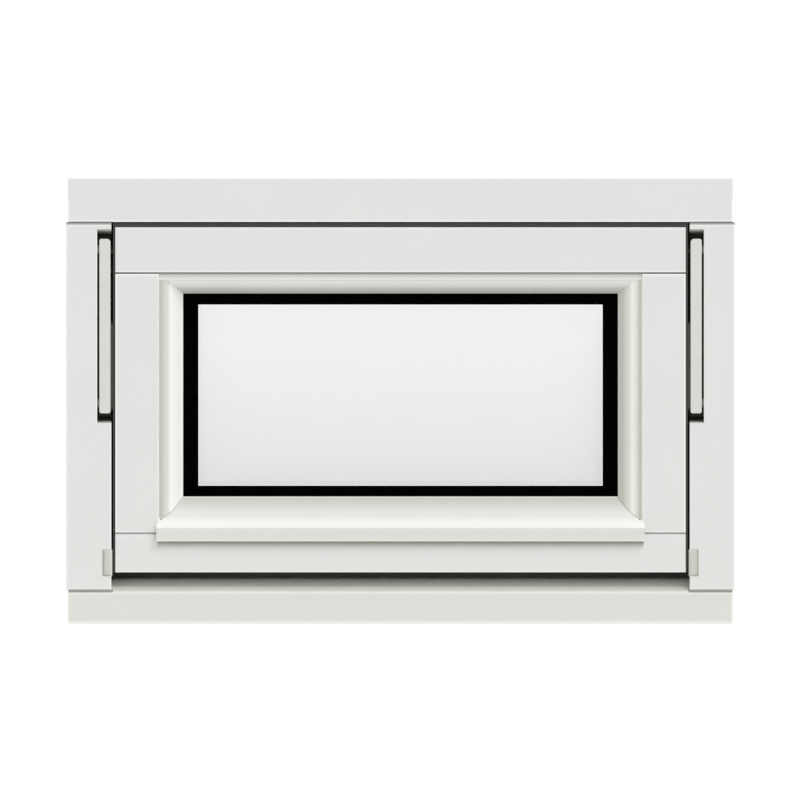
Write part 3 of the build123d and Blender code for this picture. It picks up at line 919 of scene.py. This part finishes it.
@dataclass
class Sash:
    """The opening sash: two rails, two stiles, the glazing beads and the weather seal.

    Attributes:
        paint, bead_paint, seal: linear colours.
        face: depth of the outer face.
        sash_half, sash_top, sash_foot: the sash's outline.
        top_rail_foot, bottom_rail_top, stile_inner: inner edges of its members.
        joint: gap between stile and rail.
        mitre: distance from the middle and height of each point of the beads' lower joint.
    """

    paint: Colour = (0.735, 0.735, 0.72)
    bead_paint: Colour = (0.735, 0.735, 0.705)
    seal: Colour = (0.068, 0.068, 0.068)
    face: float = -56 * MM
    sash_half: float = 255.7 * MM
    sash_top: float = 354.3 * MM
    sash_foot: float = 45.7 * MM
    top_rail_foot: float = 313.7 * MM
    bottom_rail_top: float = 80.5 * MM
    stile_inner: float = 216.2 * MM
    joint: float = 0.8 * MM
    mitre: tuple[tuple[float, float], ...] = (
        (194.3 * MM, 113.4 * MM),
        (205 * MM, 99.4 * MM),
        (213.2 * MM, 94 * MM),
    )

    def build(self) -> None:
        """Dresses the sash's timber, its beads and its seal."""
        self.dress_top_rail()
        self.dress_bottom_rail()
        self.dress_stiles()
        self.dress_bead("top_glazing_bead", Grain.ALONG_X, self.top_wash())
        self.dress_bead("bottom_glazing_bead", Grain.ALONG_X, self.bottom_wash())
        self.dress_bead("left_glazing_bead", Grain.ALONG_Z, self.left_wash())
        self.dress_bead("right_glazing_bead", Grain.ALONG_Z, self.right_wash())
        dress("sash_seal", Rubber("weather_seal_rubber", self.seal).build())

    def dress_top_rail(self) -> None:
        """Dresses the top rail, with painted highlights along its edges."""
        foot = self.top_rail_foot
        # Lighter lines are painted highlights beside the edges; the darker one is the dark joint at the
        # rail's foot
        lines = (
            EdgeLine(Axis.HEIGHT, self.sash_top - 1.8 * MM, 1.06),
            EdgeLine(Axis.HEIGHT, foot + 1.1 * MM, 1.22, 0.6 * MM),
            EdgeLine(Axis.HEIGHT, foot + 0.3 * MM, 0.5, 0.5 * MM),
        )
        upper = Region((OUTSIDE, (Axis.HEIGHT, foot + 10 * MM, FAR)))
        paint = BrushedPaint(
            "top_rail_paint",
            self.paint,
            Grain.ALONG_X,
            arris=Arris(region=upper),
            lines=lines,
            patches=(self.gap_shade(),),
        )
        dress("sash_top_rail", paint.build())

    def dress_bottom_rail(self) -> None:
        """Dresses the bottom rail, with a painted shadow under the bead's nose."""
        nose_low, nose_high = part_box("bottom_glazing_bead")
        drip = nose_low.z
        # Painted shadow cast by the bead's nose onto the rail, darkest just under it
        faint = stops_from(drip, (-9, 1.0), (-7, 0.98), (-5.4, 0.92), (-4.5, 0.85))
        strong = stops_from(drip, (-3.6, 0.77), (-2.7, 0.65), (-1.6, 0.48), (0, 0.42))
        nose_shadow = Wash(Axis.HEIGHT, (*faint, *strong))
        shadow = (Axis.ACROSS, -2 * MM, nose_high.x - 1.5 * MM)
        on_face = (Axis.DEPTH, self.face - MM, self.face + MM)
        under_nose = Region((shadow, (Axis.HEIGHT, faint[0][0], FAR), on_face), MM)
        # Lighter lines are painted highlights beside the edges; the darker one is the dark joint with the
        # stiles
        lines = (
            EdgeLine(Axis.HEIGHT, self.sash_foot + 0.4 * MM, 1.32, 0.6 * MM),
            EdgeLine(Axis.HEIGHT, self.bottom_rail_top - 2.9 * MM, 1.06),
            EdgeLine(Axis.HEIGHT, self.bottom_rail_top - 0.4 * MM, 0.55, 0.6 * MM, self.stile_inner),
        )
        lower = Region((OUTSIDE, (Axis.HEIGHT, 0.0, self.sash_foot + 10 * MM)))
        paint = BrushedPaint(
            "bottom_rail_paint",
            self.paint,
            Grain.ALONG_X,
            arris=Arris(1.32, lower),
            lines=lines,
            patches=(Patch(nose_shadow, under_nose), self.gap_shade()),
        )
        dress("sash_bottom_rail", paint.build())

    def dress_stiles(self) -> None:
        """Dresses the stiles, with painted highlights along their edges and at their ends."""
        top, foot = self.top_rail_foot - self.joint, self.bottom_rail_top + self.joint
        # Lighter lines are painted highlights beside the edges and ends; the darker one is the dark joint
        # under the top rail
        lines = (
            EdgeLine(Axis.ACROSS, self.sash_half - 1.5 * MM, 1.18),
            EdgeLine(Axis.ACROSS, self.stile_inner + 0.5 * MM, 1.14),
            EdgeLine(Axis.HEIGHT, top - 0.25 * MM, 0.4, 0.4 * MM),
            EdgeLine(Axis.HEIGHT, top - 1.7 * MM, 1.1, 0.7 * MM),
            EdgeLine(Axis.HEIGHT, top - 0.85 * MM, 1.32, 0.5 * MM),
            EdgeLine(Axis.HEIGHT, foot + 0.5 * MM, 1.27, 0.7 * MM),
        )
        outer = Region((OUTSIDE, (Axis.ACROSS, self.sash_half - 5 * MM, FAR)))
        paint = BrushedPaint(
            "stile_paint",
            self.paint,
            Grain.ALONG_Z,
            arris=Arris(region=outer),
            lines=lines,
            patches=(self.gap_shade(),),
        ).build()
        dress("left_stile", paint)
        dress("right_stile", paint)

    def gap_shade(self) -> Patch:
        """Returns the painted shade along the sash's outer side edge, beside the gap to the frame."""
        edge = (Axis.ACROSS, self.sash_half - 0.55 * MM, FAR)
        # Painted shade on the sash's outermost edge, where the gap to the frame lies in shadow
        return Patch(even_wash(0.1), Region((OUTSIDE, edge), 0.1 * MM))

    def top_wash(self) -> Wash:
        """Returns the painted shade and highlight on the top bead: shade in its quirk and at the glass,
        highlight on its step and bevel.
        """
        low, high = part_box("top_glazing_bead")
        glass = stops_from(low.z, (0, 0.62), (0.8, 0.7), (2.6, 0.8), (4.4, 0.86))
        bevel = stops_from(low.z, (6.2, 1.02), (8, 1.09), (9.8, 1.24), (10.7, 1.14))
        step = stops_from(high.z, (-7, 1.28), (-6.1, 1.13), (-5.2, 1.01), (-3.5, 0.95))
        quirk = stops_from(high.z, (-1.7, 0.95), (-1, 0.5), (0, 0.5))
        return Wash(Axis.HEIGHT, (*glass, *bevel, *step, *quirk))

    def bottom_wash(self) -> Wash:
        """Returns the painted shade and highlight on the bottom bead: lighter towards its nose, darker at
        the glass.
        """
        low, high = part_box("bottom_glazing_bead")
        nose = stops_from(low.z, (0, 1.25), (1.2, 1.2), (1.6, 0.96))
        brow = stops_from(high.z, (-28.9, 0.96), (-27.9, 1.15), (-25.2, 1.2), (-21.6, 1.15))
        slope = stops_from(high.z, (-18.1, 1.03), (-14.5, 1.0), (-11.8, 0.96), (-9.1, 0.89))
        glass = stops_from(high.z, (-6.4, 0.83), (-3.6, 0.775), (-2.1, 0.775), (-1.1, 0.85), (0, 0.85))
        return Wash(Axis.HEIGHT, (*nose, *brow, *slope, *glass))

    def left_wash(self) -> Wash:
        """Returns the painted highlight and shade on the left bead: lighter from the glass over its bevel,
        darker in its quirk and over its flat.
        """
        # A mirrored wash counts from the window's middle, so the right bead's box serves
        low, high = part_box("right_glazing_bead")
        glass = stops_from(low.x, (0, 1.3), (1.5, 1.3), (2.5, 1.21), (9, 1.21))
        bevel = stops_from(low.x, (10.4, 1.25), (11.3, 1.24), (12.2, 1.09), (13.9, 0.96))
        quirk = stops_from(high.x, (-6, 0.91), (-4.2, 0.82), (-2.4, 0.74), (-1, 0.71), (0, 0.85))
        return Wash(Axis.ACROSS, (*glass, *bevel, *quirk), mirrored=True)

    def right_wash(self) -> Wash:
        """Returns the painted highlight and shade on the right bead: lighter on its bevel, darker in its
        quirk and at the glass.
        """
        low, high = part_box("right_glazing_bead")
        glass = stops_from(low.x, (0, 0.96), (4.1, 0.87), (6.8, 1.01), (8.6, 1.07))
        bevel = stops_from(low.x, (11.3, 1.19), (12.2, 1.32), (13.2, 1.32), (14.8, 1.26))
        flat = stops_from(high.x, (-6, 1.19), (-5.1, 1.08), (-4.2, 0.87), (-2.8, 0.77))
        quirk = stops_from(high.x, (-1.9, 0.69), (-1, 0.92), (0, 1.3))
        return Wash(Axis.ACROSS, (*glass, *bevel, *flat, *quirk), mirrored=True, blue=0.96)

    def dress_bead(self, node: str, grain: Grain, wash: Wash) -> None:
        """Dresses one glazing bead.

        Args:
            node: the bead's node.
            grain: the direction that it runs in.
            wash: the painted shade and highlight over its moulding.
        """
        start, turn, end = self.mitre
        lines = (JointLine(start, turn), JointLine(turn, end))
        # Painted shade in the small hollow at the outer end of the beads' lower joint
        across = (Axis.ACROSS, end[0] + 0.3 * MM, end[0] + 1.5 * MM)
        spot = Region((OUTSIDE, across, (Axis.HEIGHT, end[1] - 1.6 * MM, end[1])))
        corner_shade = Patch(even_wash(0.3), spot)
        paint = BrushedPaint(f"{node}_paint", self.bead_paint, grain, wash, None, lines, (corner_shade,))
        dress(node, paint.build())


@dataclass
class Glazing:
    """The sealed unit: two panes, the spacer between them, the gasket, tape and blocks."""

    # film, dense and thin set the colour and cover of the painted shade over the panes
    film: Colour = (0.65, 0.65, 0.65)
    black: Colour = (0.001, 0.001, 0.0009)
    block: Colour = (0.4, 0.4, 0.38)
    dense: float = 0.165
    thin: float = 0.065
    clear_half: float = 180.8 * MM
    clear_low: float = 123.2 * MM
    clear_high: float = 285.2 * MM

    def build(self) -> None:
        """Dresses the glass and what holds it."""
        for node in ("outer_pane", "inner_pane"):
            glass = PaneGlass(
                f"{node}_glass",
                self.film,
                self.clear_low,
                self.clear_high,
                self.clear_half,
                self.dense,
                self.thin,
            )
            dress(node, glass.build())
        black = Rubber("gasket_rubber", self.black, 0.9, 0.0).build()
        dress("glazing_gasket", black)
        dress("inner_glazing_tape", black)
        dress("spacer_bar", Coating("spacer_black", self.black, 0.7).build())
        dress("setting_blocks", Coating("block_grey", self.block, 0.6).build())


@dataclass
class SideFittings:
    """The rails, stays, brackets, rollers and guide blocks on both sides."""

    rail_coat: Colour = (0.676, 0.666, 0.627)
    block: Colour = (0.555, 0.555, 0.508)
    steel: Colour = (0.1, 0.1, 0.075)
    roller: Colour = (0.03, 0.03, 0.03)
    block_bevel: float = 1.8 * MM
    sides: tuple[str, ...] = ("left", "right")

    def build(self) -> None:
        """Dresses the fittings of both sides."""
        # The rail's coat carries a painted highlight along its edges
        rail = Coating("rail_coat", self.rail_coat, 0.45, arris=Arris(1.08)).build()
        steel = Coating("dark_plated_steel", self.steel, 0.5, 0.3).build()
        roller = Coating("roller_plastic", self.roller, 0.5).build()
        # Painted highlight on the guide block's inner bevel and painted shade on its outer bevel
        low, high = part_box("right_guide_block")
        inner, outer = low.x + self.block_bevel, high.x - self.block_bevel
        turn = stops_from(outer, (-0.1, 1.0), (0, 0.86))
        wash = Wash(Axis.ACROSS, ((low.x, 1.3), (inner, 1.1), *turn, (high.x, 0.84)), mirrored=True)
        block = Coating("guide_block_plastic", self.block, 0.5, wash=wash).build()
        for side in self.sides:
            dress(f"{side}_guide_block", block)
            dress(f"{side}_guide_rail", rail)
            dress(f"{side}_stay_arm", steel)
            dress(f"{side}_sash_bracket", steel)
            dress(f"{side}_guide_roller", roller)


@dataclass
class Handle:
    """The handle on the room side: rose, lever and the rose's two screws."""

    coat: Colour = (0.74, 0.74, 0.72)
    screw: Colour = (0.6, 0.6, 0.58)
    screw_radius: float = 3.4 * MM
    screw_height: float = 0.9 * MM
    screw_taper: float = 0.8
    screw_inset: float = 9.5 * MM
    recess_radius: float = 1.5 * MM
    recess_share: float = 0.6
    segments: int = 32

    def build(self) -> None:
        """Dresses the handle and drives its screws."""
        coat = Coating("handle_coat", self.coat, 0.3).build()
        dress("handle_rose", coat)
        dress("handle_lever", coat)
        zinc = Coating("screw_zinc", self.screw, 0.3, 1.0).build()
        low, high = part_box("handle_rose")
        middle = (low + high) / 2
        for name, x in (("left", low.x + self.screw_inset), ("right", high.x - self.screw_inset)):
            self.build_screw(f"{name}_rose_screw", Vector((x, high.y, middle.z)), zinc)

    def build_screw(self, name: str, place: Vector, zinc: bpy.types.Material) -> bpy.types.Object:
        """Builds one low screw head with a round recess.

        Args:
            name: the piece's name.
            place: centre of the head's seat on the rose.
            zinc: the screw's finish.

        Returns:
            The screw head.
        """
        top_radius = self.screw_radius * self.screw_taper
        middle = Matrix.Translation(place + Vector((0, self.screw_height / 2, 0)))
        shape = bmesh.new()
        bmesh.ops.create_cone(
            shape,
            cap_ends=True,
            segments=self.segments,
            radius1=self.screw_radius,
            radius2=top_radius,
            depth=self.screw_height,
            matrix=middle @ Matrix.Rotation(-math.pi / 2, 4, "X"),
        )
        top = max(shape.faces, key=lambda face: face.calc_center_median().y)
        bmesh.ops.inset_region(shape, faces=[top], thickness=top_radius - self.recess_radius)
        sunk = bmesh.ops.extrude_discrete_faces(shape, faces=[top])["faces"]
        inwards = Vector((0, -self.screw_height * self.recess_share, 0))
        bmesh.ops.translate(shape, verts=sunk[0].verts, vec=inwards)
        return new_piece(name, shape, zinc)


@dataclass
class Studio:
    """The camera, the soft lights, the pale floor and the white surround."""

    view_centre: Vector = field(default_factory=lambda: Vector((-0.00045, 0.0, 0.19985)))
    view_size: float = 0.7157
    distance: float = 4.0
    key_direction: Vector = field(default_factory=lambda: Vector((0.3, -0.44, 0.667)))
    key_strength: float = 1.366
    key_spread: float = math.radians(30.0)
    surround: float = 0.687
    clip_end: float = 100.0
    floor_size: float = 12.0
    floor_colour: Colour = (0.95, 0.95, 0.95)
    floor_variation: float = 0.005
    floor_fibres: float = 400.0
    floor_roughness: float = 0.9

    def build(self) -> None:
        """Sets up everything around the window."""
        self.build_camera()
        self.build_surround()
        self.build_key()
        self.build_floor()
        bpy.context.scene.view_settings.view_transform = "Standard"

    def build_camera(self) -> None:
        """Looks at the outside face squarely, with no perspective."""
        data = bpy.data.cameras.new("camera")
        data.type = "ORTHO"
        data.ortho_scale = self.view_size
        data.clip_end = self.clip_end
        camera = bpy.data.objects.new("camera", data)
        camera.location = self.view_centre + Vector((0, -self.distance, 0))
        camera.rotation_euler = (math.pi / 2, 0, 0)
        bpy.context.scene.collection.objects.link(camera)
        bpy.context.scene.camera = camera

    def build_surround(self) -> None:
        """Makes the surround soft white light, and plain white where it is seen directly."""
        world = bpy.data.worlds.new("surround")
        world.use_nodes = True
        tree = world.node_tree
        tree.nodes.clear()
        seen = tree.nodes.new("ShaderNodeBackground")
        seen.inputs["Strength"].default_value = 1.0
        lit = tree.nodes.new("ShaderNodeBackground")
        lit.inputs["Strength"].default_value = self.surround
        for background in (seen, lit):
            background.inputs["Color"].default_value = (*WHITE, 1.0)
        path = tree.nodes.new("ShaderNodeLightPath")
        choice = tree.nodes.new("ShaderNodeMixShader")
        output = tree.nodes.new("ShaderNodeOutputWorld")
        tree.links.new(path.outputs["Is Camera Ray"], choice.inputs["Fac"])
        tree.links.new(lit.outputs["Background"], choice.inputs[1])
        tree.links.new(seen.outputs["Background"], choice.inputs[2])
        tree.links.new(choice.outputs["Shader"], output.inputs["Surface"])
        bpy.context.scene.world = world

    def build_key(self) -> None:
        """Adds the soft key light from above on the right."""
        data = bpy.data.lights.new("key_light", "SUN")
        data.energy = self.key_strength
        data.angle = self.key_spread
        light = bpy.data.objects.new("key_light", data)
        towards = self.key_direction.normalized()
        light.location = self.view_centre + towards * self.distance
        light.rotation_mode = "QUATERNION"
        light.rotation_quaternion = towards.to_track_quat("Z", "Y")
        bpy.context.scene.collection.objects.link(light)

    def build_floor(self) -> None:
        """Lays the pale floor just under the sill."""
        shape = bmesh.new()
        bmesh.ops.create_grid(shape, x_segments=4, y_segments=4, size=self.floor_size / 2)
        mesh = bpy.data.meshes.new("floor")
        shape.to_mesh(mesh)
        shape.free()
        material, tree = new_material("floor_paper")
        shader = tree.nodes["shader"]
        fibres = object_noise(tree, UNSTRETCHED, self.floor_fibres)
        dark = shade(self.floor_colour, 1.0 - self.floor_variation)
        tree.links.new(noise_colours(tree, fibres, dark, self.floor_colour), shader.inputs["Base Color"])
        shader.inputs["Roughness"].default_value = self.floor_roughness
        mesh.materials.append(material)
        floor = bpy.data.objects.new("floor", mesh)
        bpy.context.scene.collection.objects.link(floor)


def main() -> None:
    """Builds and dresses the window, piece by piece, and the studio around it."""
    logging.basicConfig(level=logging.INFO, format="%(name)s %(message)s")
    for assembly in (OuterFrame(), Sash(), Glazing(), SideFittings(), Handle(), Studio()):
        assembly.build()
        log.info("finished %s", type(assembly).__name__)


if __name__ == "__main__":
    main()
